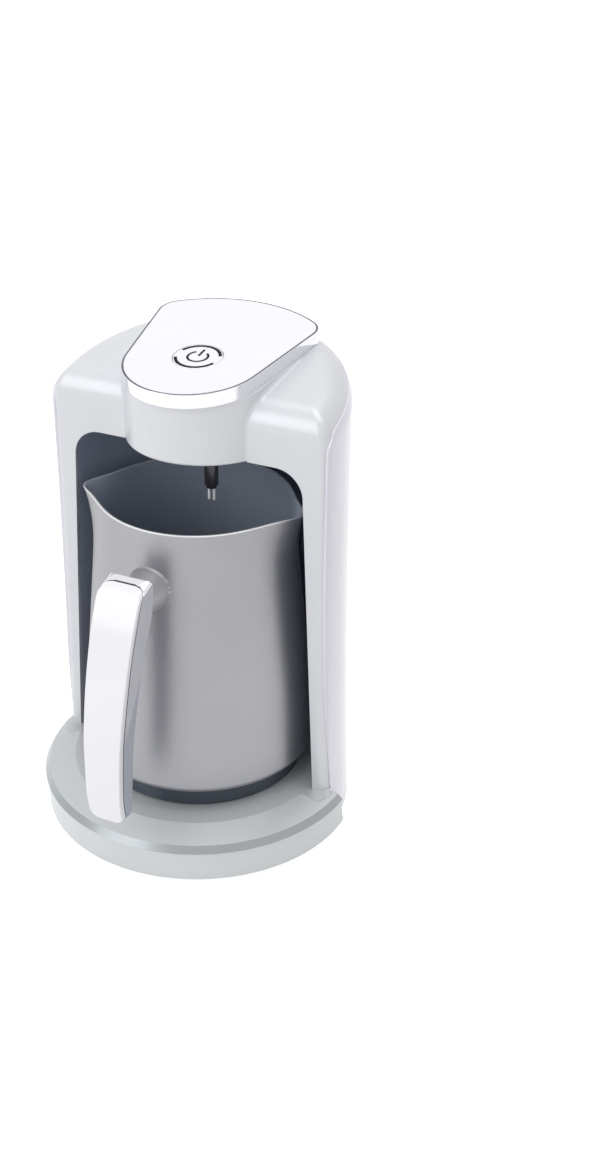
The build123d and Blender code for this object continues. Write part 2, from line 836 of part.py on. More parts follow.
fixed_nodes = {
    "main_housing": make_housing,
    "rear_cover": make_rear_cover,
    "niche_liner": make_niche_liner,
    "head_plate": make_head_plate,
    "base_ring": make_base_ring,
    "bottom_plate": make_bottom_plate,
    "rubber_feet": make_rubber_feet,
    "base_screws": make_base_screws,
    "cover_screws": make_cover_screws,
    "heating_plate": make_heating_plate,
    "plate_gasket": make_plate_gasket,
    "plate_retainer": make_plate_retainer,
    "retainer_screws": make_retainer_screws,
    "heating_element": make_heating_element,
    "thermostat": make_thermostat,
    "element_bracket": make_element_bracket,
    "bracket_screws": make_bracket_screws,
    "supply_wires": make_supply_wires,
    "cord_gland": make_cord_gland,
    "panel_trim": make_panel_trim,
    "top_panel": make_top_panel,
    "power_button": make_power_button,
    "button_icon": make_button_icon,
    "light_guide": make_light_guide,
    "control_board": make_control_board,
    "button_switch": make_button_switch,
    "board_parts": make_board_parts,
    "board_screws": make_board_screws,
    "probe_sheath": make_probe_sheath,
    "probe_pins": make_probe_pins,
    "probe_nut": make_probe_nut,
}


def write(name, made, place=None):
    pieces = made if isinstance(made, list) else [made]
    solids = [solid for piece in pieces for solid in piece.solids()]
    if place:
        solids = [place(solid) for solid in solids]
    export_step(Compound(children=solids), f"parts/{name}.step")


os.makedirs("parts", exist_ok=True)
for node, make in fixed_nodes.items():
    write(node, make())
for node, make in pot_nodes.items():
    write(node, make(), place_pot)
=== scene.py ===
"""Looks of an electric Turkish coffee maker, built round its CAD solids.

Metres, +Z up, the open front faces -Y. Each sub-assembly is a class that makes its pieces and dresses them.
"""

import json
import logging
import math
from collections.abc import Callable
from dataclasses import dataclass, field
from enum import Enum

import bpy
from mathutils import Matrix, Vector

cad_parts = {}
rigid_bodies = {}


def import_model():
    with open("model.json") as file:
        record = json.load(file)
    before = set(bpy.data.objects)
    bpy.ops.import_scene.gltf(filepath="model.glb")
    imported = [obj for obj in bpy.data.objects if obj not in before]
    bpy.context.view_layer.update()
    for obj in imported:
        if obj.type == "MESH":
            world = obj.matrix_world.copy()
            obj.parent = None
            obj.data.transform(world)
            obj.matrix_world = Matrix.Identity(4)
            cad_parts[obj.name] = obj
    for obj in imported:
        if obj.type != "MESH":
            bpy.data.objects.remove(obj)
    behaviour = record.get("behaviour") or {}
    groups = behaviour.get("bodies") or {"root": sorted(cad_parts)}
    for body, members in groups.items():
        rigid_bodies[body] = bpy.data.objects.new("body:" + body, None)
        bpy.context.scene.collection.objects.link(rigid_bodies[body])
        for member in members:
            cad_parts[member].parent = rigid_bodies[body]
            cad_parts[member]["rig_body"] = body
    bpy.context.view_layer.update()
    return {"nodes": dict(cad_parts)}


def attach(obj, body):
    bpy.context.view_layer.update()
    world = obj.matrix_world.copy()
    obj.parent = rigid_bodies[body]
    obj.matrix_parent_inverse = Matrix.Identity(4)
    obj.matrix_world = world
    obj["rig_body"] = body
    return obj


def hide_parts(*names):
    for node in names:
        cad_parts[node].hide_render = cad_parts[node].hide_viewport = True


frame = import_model()
MM = 0.001
WHITE = (1.0, 1.0, 1.0, 1.0)
DRIFT_PER_METRE = 18.0

logging.basicConfig(level=logging.INFO, format="%(message)s")
log = logging.getLogger("coffee_maker")


# ---------------------------------------------------------------- colour and node helpers


def linear(colour: str, alpha: float = 1.0) -> tuple[float, float, float, float]:
    """Turns an sRGB hex colour to linear.

    Args:
        colour: the colour as "#RRGGBB".
        alpha: the fourth value.

    Returns:
        Red, green, blue and alpha, as a shader socket takes them.
    """
    parts = []
    for start in (1, 3, 5):
        value = int(colour[start : start + 2], 16) / 255
        parts.append(value / 12.92 if value <= 0.04045 else ((value + 0.055) / 1.055) ** 2.4)
    return (parts[0], parts[1], parts[2], alpha)


def add_node(tree: bpy.types.NodeTree, kind: str, settings: dict, links: dict) -> bpy.types.Node:
    """Adds one node with its settings and links.

    Args:
        tree: the node tree that it goes into.
        kind: the node's type, such as "ShaderNodeMath".
        settings: property names, or input sockets by name or number, with their values.
        links: input sockets by name or number, with the output sockets that feed them.

    Returns:
        The new node.
    """
    node = tree.nodes.new(kind)
    for name, value in settings.items():
        if isinstance(name, int) or name in node.inputs:
            node.inputs[name].default_value = value
        else:
            setattr(node, name, value)
    for name, source in links.items():
        tree.links.new(source, node.inputs[name])
    return node


class Grain(Enum):
    """How a surface was made, which sets the pattern of its fine relief."""

    MOULDED = "moulded"
    POLISHED = "polished"
    TURNED = "turned"
    DRAWN = "drawn"
    SPARKED = "sparked"


@dataclass(frozen=True)
class Finish:
    """One surface finish: what it is made of, its colours, and its relief at real size.

    Attributes:
        name: the material's name.
        colour: the main sRGB colour.
        shade: the second colour, which drifts over the first.
        roughness: the mean roughness.
        spread: how far the roughness drifts each side of the mean.
        metallic: 1 for bare metal.
        grain: how the surface was made.
        grain_mm: the size of the fine relief.
        relief: the strength of the bump.
        coat: the weight of a clear lacquer.
        ior: the index of refraction; metals keep the default.
        wear: how much paler the convex edges get.
        clear: transmission weight.
        painted_low_colour: a colour painted in low down, darker for painted shade, lighter for painted bounce
            light; "" for none.
        painted_low_mm: the heights between which it changes.
    """

    name: str
    colour: str
    shade: str
    roughness: float
    spread: float = 0.04
    metallic: float = 0.0
    grain: Grain = Grain.MOULDED
    grain_mm: float = 0.5
    relief: float = 0.05
    coat: float = 0.0
    ior: float = 1.5
    wear: float = 0.0
    clear: float = 0.0
    painted_low_colour: str = ""
    painted_low_mm: tuple[float, float] = (0.0, 1.0)

    def stretch(self) -> tuple[float, float, float]:
        """Returns how the grain's pattern is stretched along X, Y and Z."""
        if self.grain is Grain.TURNED:
            return (0.05, 0.05, 1.0)
        if self.grain is Grain.DRAWN:
            return (1.0, 1.0, 0.05)
        return (1.0, 1.0, 1.0)

    def build(self) -> bpy.types.Material:
        """Makes the material.

        Returns:
            The Blender material, with colour drift, roughness drift and fine relief.
        """
        made = bpy.data.materials.new(self.name)
        made.use_nodes = True
        tree = made.node_tree
        tree.nodes.clear()
        place = add_node(tree, "ShaderNodeTexCoord", {}, {})
        drift = add_node(
            tree,
            "ShaderNodeTexNoise",
            {"Scale": DRIFT_PER_METRE, "Detail": 3.0, "Roughness": 0.55},
            {"Vector": place.outputs["Object"]},
        )
        stretched = add_node(
            tree, "ShaderNodeMapping", {"Scale": self.stretch()}, {"Vector": place.outputs["Object"]}
        )
        fine = add_node(
            tree,
            "ShaderNodeTexNoise",
            {"Scale": 1.0 / (self.grain_mm * MM), "Detail": 2.0, "Roughness": 0.6},
            {"Vector": stretched.outputs["Vector"]},
        )
        colour = add_node(
            tree,
            "ShaderNodeMix",
            {"data_type": "RGBA", 6: linear(self.colour), 7: linear(self.shade)},
            {0: drift.outputs["Fac"]},
        ).outputs[2]
        # Painted light and shade: below the given heights the colour shifts to the low colour.
        if self.painted_low_colour:
            height = add_node(tree, "ShaderNodeSeparateXYZ", {}, {0: place.outputs["Object"]})
            rise = add_node(
                tree,
                "ShaderNodeMapRange",
                {"From Min": self.painted_low_mm[0] * MM, "From Max": self.painted_low_mm[1] * MM},
                {"Value": height.outputs["Z"]},
            )
            colour = add_node(
                tree,
                "ShaderNodeMix",
                {"data_type": "RGBA", 6: linear(self.painted_low_colour)},
                {0: rise.outputs["Result"], 7: colour},
            ).outputs[2]
        if self.wear:
            edge = add_node(tree, "ShaderNodeNewGeometry", {}, {})
            worn = add_node(
                tree,
                "ShaderNodeMapRange",
                {"From Min": 0.53, "From Max": 0.62, "To Max": self.wear},
                {"Value": edge.outputs["Pointiness"]},
            )
            colour = add_node(
                tree,
                "ShaderNodeMix",
                {"data_type": "RGBA", 7: (0.9, 0.9, 0.9, 1.0)},
                {0: worn.outputs["Result"], 6: colour},
            ).outputs[2]
        both = add_node(
            tree,
            "ShaderNodeMix",
            {"data_type": "FLOAT", 0: 0.35},
            {2: drift.outputs["Fac"], 3: fine.outputs["Fac"]},
        )
        rough = add_node(
            tree,
            "ShaderNodeMapRange",
            {
                "From Min": 0.3,
                "From Max": 0.7,
                "To Min": max(0.02, self.roughness - self.spread),
                "To Max": self.roughness + self.spread,
            },
            {"Value": both.outputs[0]},
        )
        bump = add_node(
            tree,
            "ShaderNodeBump",
            {"Strength": self.relief, "Distance": self.grain_mm * MM * 0.2},
            {"Height": fine.outputs["Fac"]},
        )
        settings = {"Metallic": self.metallic, "Coat Weight": self.coat, "Coat Roughness": 0.06}
        if not self.metallic:
            settings["IOR"] = self.ior
        if self.clear:
            settings["Transmission Weight"] = self.clear
        shader = add_node(
            tree,
            "ShaderNodeBsdfPrincipled",
            settings,
            {"Base Color": colour, "Roughness": rough.outputs["Result"], "Normal": bump.outputs["Normal"]},
        )
        add_node(tree, "ShaderNodeOutputMaterial", {}, {"Surface": shader.outputs["BSDF"]})
        return made


# Silver lacquer on moulded ABS: a soft sheen with the faint orange peel of sprayed paint. Painted shade: the
# colour darkens towards the bottom, between 40 mm and 16 mm up, so the base and the foot of the tower render
# greyer.
SILVER_LACQUER = Finish(
    "silver_lacquer_on_abs",
    "#DCDEE2",
    "#D6D8DD",
    0.34,
    0.04,
    0.15,
    Grain.MOULDED,
    0.9,
    0.04,
    0.1,
    wear=0.1,
    painted_low_colour="#D0D4D6",
    painted_low_mm=(16.0, 40.0),
)
# The same lacquer on the base's chamfer, glossier; its darker colour is a painted dark reflection, so it
# reads as a ring.
CHAMFER_PAINTED_REFLECTION = Finish(
    "chamfer_painted_dark_reflection", "#A3A8AB", "#9FA4A7", 0.3, 0.03, 0.6, Grain.POLISHED, 2.0, 0.01, 0.2
)
# Glossy white ABS from a polished mould; on the rear cover's rounded lip its brighter white is a painted
# highlight.
WHITE_ABS_AND_LIP_HIGHLIGHT = Finish(
    "polished_white_abs_and_painted_lip_highlight", "#F7F6FB", "#F3F2F8", 0.14, 0.03, 0.0, Grain.POLISHED, 2.0, 0.02, 0.25
)
# White ABS of the rear shell, with the faint lavender cast of its pigment.
SHELL_ABS = Finish("white_shell_abs", "#E8E5EF", "#E4E1EC", 0.2, 0.04, 0.0, Grain.POLISHED, 2.0, 0.02, 0.15)
# Blue-grey heat-resistant PBT with a fine matt mould face; lighter low down as painted bounce light from the
# bright base.
LINER_PBT = Finish(
    "blue_grey_pbt",
    "#A6B0C2",
    "#9EA8BA",
    0.42,
    0.05,
    0.0,
    Grain.SPARKED,
    0.5,
    0.12,
    painted_low_colour="#B8BFCC",
    painted_low_mm=(20.0, 120.0),
)
# Dark grey PBT of the small inner parts; it also paints the shade line on the trim's top face round the
# panel.
DARK_PBT_AND_GAP_SHADE = Finish("matt_dark_pbt_and_painted_gap_shade", "#4A505C", "#434955", 0.5, 0.05, 0.0, Grain.SPARKED, 0.5, 0.18)
# Satin stainless steel, bead-blasted, so that it shows soft broad tones and no streaks.
POT_STEEL = Finish("satin_stainless_pot", "#A4A4A8", "#9D9DA2", 0.43, 0.04, 0.85, Grain.TURNED, 0.6, 0.04)
# The inside of the pot: blasted steel with a blue-grey cast from its heat treatment.
POT_INSIDE = Finish("blasted_pot_inside", "#AAB3C2", "#A1AAB9", 0.42, 0.05, 0.0, Grain.TURNED, 0.6, 0.05)
# The rolled and polished rim: glossier, and much lighter than the pot as a painted highlight.
POT_RIM = Finish("polished_pot_rim_painted_highlight", "#E9EAEA", "#E0E1E2", 0.25, 0.04, 0.6, Grain.TURNED, 0.8, 0.02)
# Bright chrome plating on ABS.
CHROME = Finish("bright_chrome_plating", "#EDEDF1", "#E0E0E6", 0.1, 0.03, 0.8, Grain.POLISHED, 3.0, 0.01)
# Zinc-plated pressed steel.
ZINC = Finish("zinc_plated_steel", "#A9AAAC", "#9C9EA1", 0.38, 0.08, 1.0, Grain.DRAWN, 0.8, 0.1)
# Dark non-stick coating on cast aluminium, with the grit of the blasted casting under it.
PLATE_COATING = Finish("dark_plate_coating", "#2B3037", "#24282E", 0.42, 0.06, 0.0, Grain.SPARKED, 0.4, 0.2)
# Dark enamel on the pot's foot.
FOOT_ENAMEL = Finish("dark_foot_enamel", "#3A4450", "#333C47", 0.3, 0.05, 0.0, Grain.POLISHED, 1.5, 0.03, 0.2)
# Matt grey thermoplastic elastomer of the grip.
GRIP_GREY = Finish("matt_grey_grip", "#B2B6C0", "#AAAEB9", 0.42, 0.05, 0.0, Grain.SPARKED, 0.4, 0.12)
# Black seal in the joint between the handle's cover and its frame; it also paints the shade of the gap on the
# white panel's rounded edge.
BLACK_RUBBER_AND_GAP_SHADE = Finish("moulded_black_rubber_and_painted_gap_shade", "#1B1B1C", "#232324", 0.75, 0.06, 0.0, Grain.SPARKED, 0.5, 0.2)
# Red silicone of the gasket and the wires: dull, even and slightly dusty.
RED_SILICONE = Finish("red_silicone", "#8E3128", "#99382E", 0.55, 0.06, 0.0, Grain.MOULDED, 0.6, 0.1)
# Steel sheath of the heater, tinted brown and blue by its own heat, with fine drawn lines.
HEATER_TUBE = Finish("heat_tinted_tube", "#7D7468", "#5E6470", 0.35, 0.08, 1.0, Grain.TURNED, 0.5, 0.1)
# Cream steatite of the cut-out: chalky, with a fine pressed grain.
CERAMIC = Finish("steatite_ceramic", "#CFC8B9", "#C6BFAF", 0.55, 0.06, 0.0, Grain.SPARKED, 0.4, 0.15)
# Near-black filled lines, dull beside the gloss of the button.
ICON_INK = Finish("dark_icon_fill", "#111113", "#151518", 0.6, 0.04, 0.0, Grain.SPARKED, 0.3, 0.05, 0.0, 1.25)
# Clear acrylic: almost invisible but for its bright edges.
LIGHT_GUIDE = Finish(
    "clear_acrylic_guide",
    "#F2F5F8",
    "#EDF1F5",
    0.08,
    0.02,
    0.0,
    Grain.POLISHED,
    2.0,
    0.01,
    0.0,
    1.49,
    clear=0.9,
)
# Green solder mask over woven glass: a soft sheen with the weave faintly showing.
SOLDER_MASK = Finish("green_solder_mask", "#1E4A2B", "#1A4226", 0.35, 0.05, 0.0, Grain.DRAWN, 1.2, 0.1)
# Dark moulded cases of the parts on the board, with a fine matt face.
BOARD_CASES = Finish("moulded_board_cases", "#3A3F52", "#30343F", 0.45, 0.05, 0.0, Grain.SPARKED, 0.4, 0.1)
# Glossy black PPS of the probe: a hard narrow highlight down its side.
PROBE_SLEEVE = Finish(
    "glossy_black_pps", "#26262A", "#2D2D31", 0.22, 0.04, 0.0, Grain.POLISHED, 1.0, 0.02, 0.3
)
# Nickel-plated pins, given a pure white, almost non-metallic colour as a painted glint against the dark
# niche.
PIN_STEEL = Finish("nickel_pin_painted_glint", "#FFFFFF", "#F4F4F6", 0.3, 0.05, 0.1, Grain.DRAWN, 0.5, 0.04)
# Coated spreader disc under the pot, turned, so that rings show faintly.
SPREADER = Finish("coated_spreader_disc", "#55585C", "#4B4E53", 0.45, 0.06, 0.6, Grain.TURNED, 0.6, 0.12)


# ---------------------------------------------------------------- mesh helpers


def only(piece: bpy.types.Object) -> None:
    """Deselects everything, then selects one object and makes it active.

    Args:
        piece: the object to work on.
    """
    bpy.ops.object.select_all(action="DESELECT")
    piece.select_set(True)
    bpy.context.view_layer.objects.active = piece


def dress(piece: bpy.types.Object, material: bpy.types.Material) -> None:
    """Gives an object one material in its only slot.

    Args:
        piece: the object.
        material: its material.
    """
    piece.data.materials.clear()
    piece.data.materials.append(material)


def mark_edges(piece: bpy.types.Object, chosen: Callable[[Vector, Vector, Vector], bool]) -> int:
    """Selects edges by their place and by the normals of the two faces that meet there.

    Args:
        piece: the object, in object mode.
        chosen: takes an edge's middle in millimetres and the two normals, and says whether to select it.

    Returns:
        How many edges are selected.
    """
    mesh = piece.data
    normals: dict[tuple[int, int], list[Vector]] = {}
    for face in mesh.polygons:
        face.select = False
        for key in face.edge_keys:
            normals.setdefault(key, []).append(face.normal)
    for vertex in mesh.vertices:
        vertex.select = False
    count = 0
    for edge in mesh.edges:
        first, last = (mesh.vertices[index] for index in edge.vertices)
        sides = normals.get(edge.key, [])
        edge.select = len(sides) == 2 and chosen((first.co + last.co) / 2 / MM, sides[0], sides[1])
        if edge.select:
            first.select = last.select = True
            count += 1
    return count


def soften(
    piece: bpy.types.Object,
    chosen: Callable[[Vector, Vector, Vector], bool],
    width: float,
    segments: int = 3,
    slot: int = -1,
) -> None:
    """Rounds chosen edges.

    Args:
        piece: the object.
        chosen: says which edges, as mark_edges takes it.
        width: the rounding's width in millimetres.
        segments: its steps.
        slot: the material slot of the new faces, or -1 for their neighbours'.
    """
    only(piece)
    bpy.context.tool_settings.mesh_select_mode = (False, True, False)
    count = mark_edges(piece, chosen)
    bpy.ops.object.mode_set(mode="EDIT")
    bpy.ops.mesh.bevel(
        offset=width * MM, segments=segments, affect="EDGES", clamp_overlap=True, material=slot
    )
    bpy.ops.object.mode_set(mode="OBJECT")
    log.info("%s: %d edges rounded", piece.name, count)


def shade(piece: bpy.types.Object, angle: float = 17.8) -> None:
    """Shades a piece smooth up to an angle, with its normals weighted by face area.

    Args:
        piece: the object.
        angle: faces that meet at less than this many degrees are shaded smooth.
    """
    only(piece)
    bpy.ops.object.shade_smooth_by_angle(angle=math.radians(angle))
    bpy.ops.object.modifier_add(type="WEIGHTED_NORMAL")
    piece.modifiers[-1].keep_sharp = True
    piece.modifiers[-1].weight = 80
    bpy.ops.object.modifier_apply(modifier=piece.modifiers[-1].name)


def crossing(first: Vector, last: Vector, least: float = 40.0) -> bool:
    """Says whether two faces meet at more than an angle.

    Args:
        first: one face's normal.
        last: the other's.
        least: the angle in degrees.

    Returns:
        True for a sharper edge.
    """
    return first.angle(last, 0.0) > math.radians(least)


# ---------------------------------------------------------------- edges that the mould rounds off

PANEL_TILT = math.radians(8.0)
PANEL_NORMAL = Vector((0.0, -math.sin(PANEL_TILT), math.cos(PANEL_TILT)))
PANEL_UNDER_MM = 200.0 * math.cos(PANEL_TILT)
TRIM_HEIGHT_MM = 6.0
BUTTON_CENTRE_MM = Vector((0.0, 3.72, 206.5))
NICHE_FRONT_MM = -9.0
HEAD_UNDER_MM = 171.0
POT_RIM_MM = 147.6
POT_AXIS_MM = Vector((-0.3, 0.3))
BASE_EDGES_MM = (14.5, 17.6, 20.5)
CHAMFER_INNER_MM = 69.0
BUTTON_CLEAR_MM = 15.0
COVER_INNER_MM = 60.0
COVER_LOW_MM = 4.0
NICHE_OUTER_MM = 61.0
NICHE_LOW_MM = 22.0
BASE_STEP_INNER_MM = 55.0
RIM_BAND_MM = 0.55


def on_panel_top(middle: Vector) -> bool:
    """Says whether a point lies in the panel's top plane.

    Args:
        middle: the point, in millimetres.

    Returns:
        True within a tenth of a millimetre.
    """
    return abs(middle.dot(PANEL_NORMAL) - PANEL_UNDER_MM - TRIM_HEIGHT_MM) < 0.1


def panel_outline(middle: Vector, first: Vector, last: Vector) -> bool:
    """Chooses the white panel's outer edge, whose rounding is painted black as the fine shadow line inside
    the trim.

    Args:
        middle: the edge's middle, in millimetres.
        first: the normal of one face at the edge.
        last: the normal of the other.

    Returns:
        True for an edge to be rounded.
    """
    clear = (middle - BUTTON_CENTRE_MM).length > BUTTON_CLEAR_MM
    return on_panel_top(middle) and clear and crossing(first, last)


def trim_outline(middle: Vector, first: Vector, last: Vector) -> bool:
    """Chooses both top edges of the trim.

    Args:
        middle: the edge's middle, in millimetres.
        first: the normal of one face at the edge.
        last: the normal of the other.

    Returns:
        True for an edge to be rounded.
    """
    return on_panel_top(middle) and crossing(first, last)


def cover_lip(middle: Vector, first: Vector, last: Vector) -> bool:
    """Chooses the rear cover's outer front edge, which the mould rounds to a soft bead; the rounding is
    painted brighter white as a highlight.

    Args:
        middle: the edge's middle, in millimetres.
        first: the normal of one face at the edge.
        last: the normal of the other.

    Returns:
        True for an edge to be rounded.
    """
    outward = Vector((middle.x, middle.y, 0.0)).normalized()
    faces_out = max(first.dot(outward), last.dot(outward)) > 0.75
    outside = middle.z > COVER_LOW_MM and middle.xy.length > COVER_INNER_MM
    return faces_out and outside and crossing(first, last)


def niche_mouth(middle: Vector, first: Vector, last: Vector) -> bool:
    """Chooses the edge where the tower's flat front turns into the niche.

    Args:
        middle: the edge's middle, in millimetres.
        first: the normal of one face at the edge.
        last: the normal of the other.

    Returns:
        True for an edge to be rounded.
    """
    on_front = abs(middle.y - NICHE_FRONT_MM) < 0.05 and max(-first.y, -last.y) > 0.99
    inside = middle.xy.length < NICHE_OUTER_MM and middle.z > NICHE_LOW_MM
    return on_front and inside and crossing(first, last)


def nose_under(middle: Vector, first: Vector, last: Vector) -> bool:
    """Chooses the lower edge of the nose.

    Args:
        middle: the edge's middle, in millimetres.
        first: the normal of one face at the edge.
        last: the normal of the other.

    Returns:
        True for an edge to be rounded.
    """
    under = abs(middle.z - HEAD_UNDER_MM) < 0.05 and min(first.z, last.z) < -0.9
    return under and crossing(first, last) and middle.y < NICHE_FRONT_MM - 0.2


def base_steps(middle: Vector, first: Vector, last: Vector) -> bool:
    """Chooses the round edges of the base.

    Args:
        middle: the edge's middle, in millimetres.
        first: the normal of one face at the edge.
        last: the normal of the other.

    Returns:
        True for an edge to be rounded.
    """
    level = any(abs(middle.z - height) < 0.03 for height in BASE_EDGES_MM)
    outside = middle.xy.length > BASE_STEP_INNER_MM and middle.y < NICHE_FRONT_MM
    return level and outside and crossing(first, last, 12.0)


def pot_rim(middle: Vector, first: Vector, last: Vector) -> bool:
    """Chooses both edges of the pot's rim.

    Args:
        middle: the edge's middle, in millimetres.
        first: the normal of one face at the edge.
        last: the normal of the other.

    Returns:
        True for an edge to be rounded.
    """
    return abs(middle.z - POT_RIM_MM) < 0.02 and crossing(first, last)


def on_chamfer(centre: Vector, normal: Vector) -> bool:
    """Chooses the chamfer round the base's rim.

    Args:
        centre: the face's centre, in millimetres.
        normal: its normal.

    Returns:
        True for a face of this kind.
    """
    level = BASE_EDGES_MM[0] - 0.2 < centre.z < BASE_EDGES_MM[1] + 0.2
    return level and 0.25 < normal.z < 0.9 and centre.xy.length > CHAMFER_INNER_MM


def on_trim_top(centre: Vector, normal: Vector) -> bool:
    """Chooses the trim's narrow top face, which is painted dark as the shade line round the panel.

    Args:
        centre: the face's centre, in millimetres.
        normal: its normal.

    Returns:
        True for a face of this kind.
    """
    return on_panel_top(centre) and normal.dot(PANEL_NORMAL) > 0.95


def in_pot(centre: Vector, normal: Vector) -> bool:
    """Chooses the pot's inner wall and floor.

    Args:
        centre: the face's centre, in millimetres.
        normal: its normal.

    Returns:
        True for a face of this kind.
    """
    outward = (centre.xy - POT_AXIS_MM).normalized()
    return normal.xy.dot(outward) < -0.3 or (normal.z > 0.5 and centre.z < POT_RIM_MM - 1.0)


def on_pot_rim(centre: Vector, normal: Vector) -> bool:
    """Chooses the pot's rolled rim, which is painted light as a highlight.

    Args:
        centre: the face's centre, in millimetres.
        normal: its normal; not used.

    Returns:
        True for a face of this kind.
    """
    return centre.z > POT_RIM_MM - RIM_BAND_MM


ROUNDINGS = {
    "top_panel": ((panel_outline, 0.75, 1),),
    "panel_trim": ((trim_outline, 0.2, -1),),
    "rear_cover": ((cover_lip, 1.6, 1),),
    "main_housing": ((niche_mouth, 1.4, -1), (nose_under, 1.0, -1), (base_steps, 0.35, -1)),
    "pot_body": ((pot_rim, 0.5, -1),),
}
# Second finishes of a piece: the new faces of its rounding, or the faces that a rule chooses.
# Painted edges: the panel's is black as the shade in its gap, the rear cover's lip brighter white as a
# highlight.
PAINTED_EDGE_TONES = {"top_panel": BLACK_RUBBER_AND_GAP_SHADE, "rear_cover": WHITE_ABS_AND_LIP_HIGHLIGHT}
FACE_FINISHES_AND_PAINTED_TONES = {
    # Painted shade: the trim's top face is dark, as the shade line round the panel.
    "panel_trim": ((on_trim_top, DARK_PBT_AND_GAP_SHADE),),
    # Painted dark reflection on the base's chamfer.
    "main_housing": ((on_chamfer, CHAMFER_PAINTED_REFLECTION),),
    # Painted highlight: the pot's rim band is much lighter than its steel.
    "pot_body": ((in_pot, POT_INSIDE), (on_pot_rim, POT_RIM)),
}


def refined(node: str, name: str, angle: float = 17.8) -> bpy.types.Object:
    """Makes a closed, smooth-shaded copy of a CAD node, which stands for it.

    Args:
        node: the CAD node's name.
        name: the new piece's name.
        angle: faces that meet at less than this many degrees are shaded smooth.

    Returns:
        The new piece, which rides on the node's body.
    """
    source = frame["nodes"][node]
    piece = bpy.data.objects.new(name, source.data.copy())
    bpy.context.scene.collection.objects.link(piece)
    only(piece)
    bpy.ops.object.mode_set(mode="EDIT")
    bpy.ops.mesh.select_all(action="SELECT")
    bpy.ops.mesh.remove_doubles(threshold=0.004 * MM)
    bpy.ops.object.mode_set(mode="OBJECT")
    piece.data.materials.clear()
    piece.data.materials.append(None)
    piece.data.materials.append(None)
    for chosen, width, slot in ROUNDINGS.get(node, ()):
        soften(piece, chosen, width, slot=slot)
    shade(piece, angle)
    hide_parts(node)
    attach(piece, source["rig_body"])
    return piece


def layer(
    piece: bpy.types.Object, node: str, finish: Finish, shelf: dict[Finish, bpy.types.Material]
) -> None:
    """Gives a smooth copy its main finish and its second ones.

    Args:
        piece: the copy, with two empty slots.
        node: the CAD node that it stands for.
        finish: its main finish.
        shelf: the built material of each finish.
    """
    slots = piece.data.materials
    slots[0] = shelf[finish]
    slots[1] = shelf[PAINTED_EDGE_TONES.get(node, finish)]
    for chosen, second in FACE_FINISHES_AND_PAINTED_TONES.get(node, ()):
        slots.append(shelf[second])
        for face in piece.data.polygons:
            if chosen(face.center / MM, face.normal):
                face.material_index = len(slots) - 1


# ---------------------------------------------------------------- sub-assemblies


@dataclass
class Outfit:
    """CAD nodes that keep their shape, each with the finish that it gets.

    Attributes:
        title: what the group is called in the log.
        smooth: nodes that are replaced by a smooth-shaded copy.
        plain: nodes whose own mesh is dressed.
    """

    title: str
    smooth: dict[str, Finish] = field(default_factory=dict)
    plain: dict[str, Finish] = field(default_factory=dict)

    def build(self) -> dict[str, bpy.types.Object]:
        """Makes the smooth copies.

        Returns:
            The pieces by CAD node.
        """
        return {node: refined(node, f"{node}_skin") for node in self.smooth}

    def dress_all(self, pieces: dict[str, bpy.types.Object], shelf: dict[Finish, bpy.types.Material]) -> None:
        """Gives every node of the group its material.

        Args:
            pieces: the smooth copies by CAD node.
            shelf: the built material of each finish.
        """
        for node, finish in self.smooth.items():
            layer(pieces[node], node, finish, shelf)
        for node, finish in self.plain.items():
            dress(frame["nodes"][node], shelf[finish])


OUTFITS = (
    Outfit(
        "housing",
        {
            "main_housing": SILVER_LACQUER,
            "rear_cover": SHELL_ABS,
            "niche_liner": LINER_PBT,
            "head_plate": LINER_PBT,
            "base_ring": SILVER_LACQUER,
            "cord_gland": BLACK_RUBBER_AND_GAP_SHADE,
            "rubber_feet": BLACK_RUBBER_AND_GAP_SHADE,
        },
        {"bottom_plate": DARK_PBT_AND_GAP_SHADE, "base_screws": ZINC, "cover_screws": ZINC},
    ),
    Outfit(
        "heater",
        {"heating_plate": PLATE_COATING, "heating_element": HEATER_TUBE, "supply_wires": RED_SILICONE},
        {
            "plate_gasket": RED_SILICONE,
            "plate_retainer": ZINC,
            "retainer_screws": ZINC,
            "thermostat": CERAMIC,
            "element_bracket": ZINC,
            "bracket_screws": ZINC,
        },
    ),
    Outfit(
        "control panel",
        {"panel_trim": CHROME, "top_panel": WHITE_ABS_AND_LIP_HIGHLIGHT, "power_button": WHITE_ABS_AND_LIP_HIGHLIGHT},
        {
            "light_guide": LIGHT_GUIDE,
            "control_board": SOLDER_MASK,
            "button_switch": DARK_PBT_AND_GAP_SHADE,
            "board_parts": BOARD_CASES,
            "board_screws": ZINC,
        },
    ),
    Outfit("probe", {"probe_sheath": PROBE_SLEEVE, "probe_pins": PIN_STEEL}, {"probe_nut": ZINC}),
    Outfit(
        "pot",
        {
            "pot_body": POT_STEEL,
            "pot_foot": FOOT_ENAMEL,
            "pot_base_disc": SPREADER,
            "handle_boss": POT_STEEL,
        },
        {"handle_screw": ZINC},
    ),
)


# ---------------------------------------------------------------- hand-modelled handle


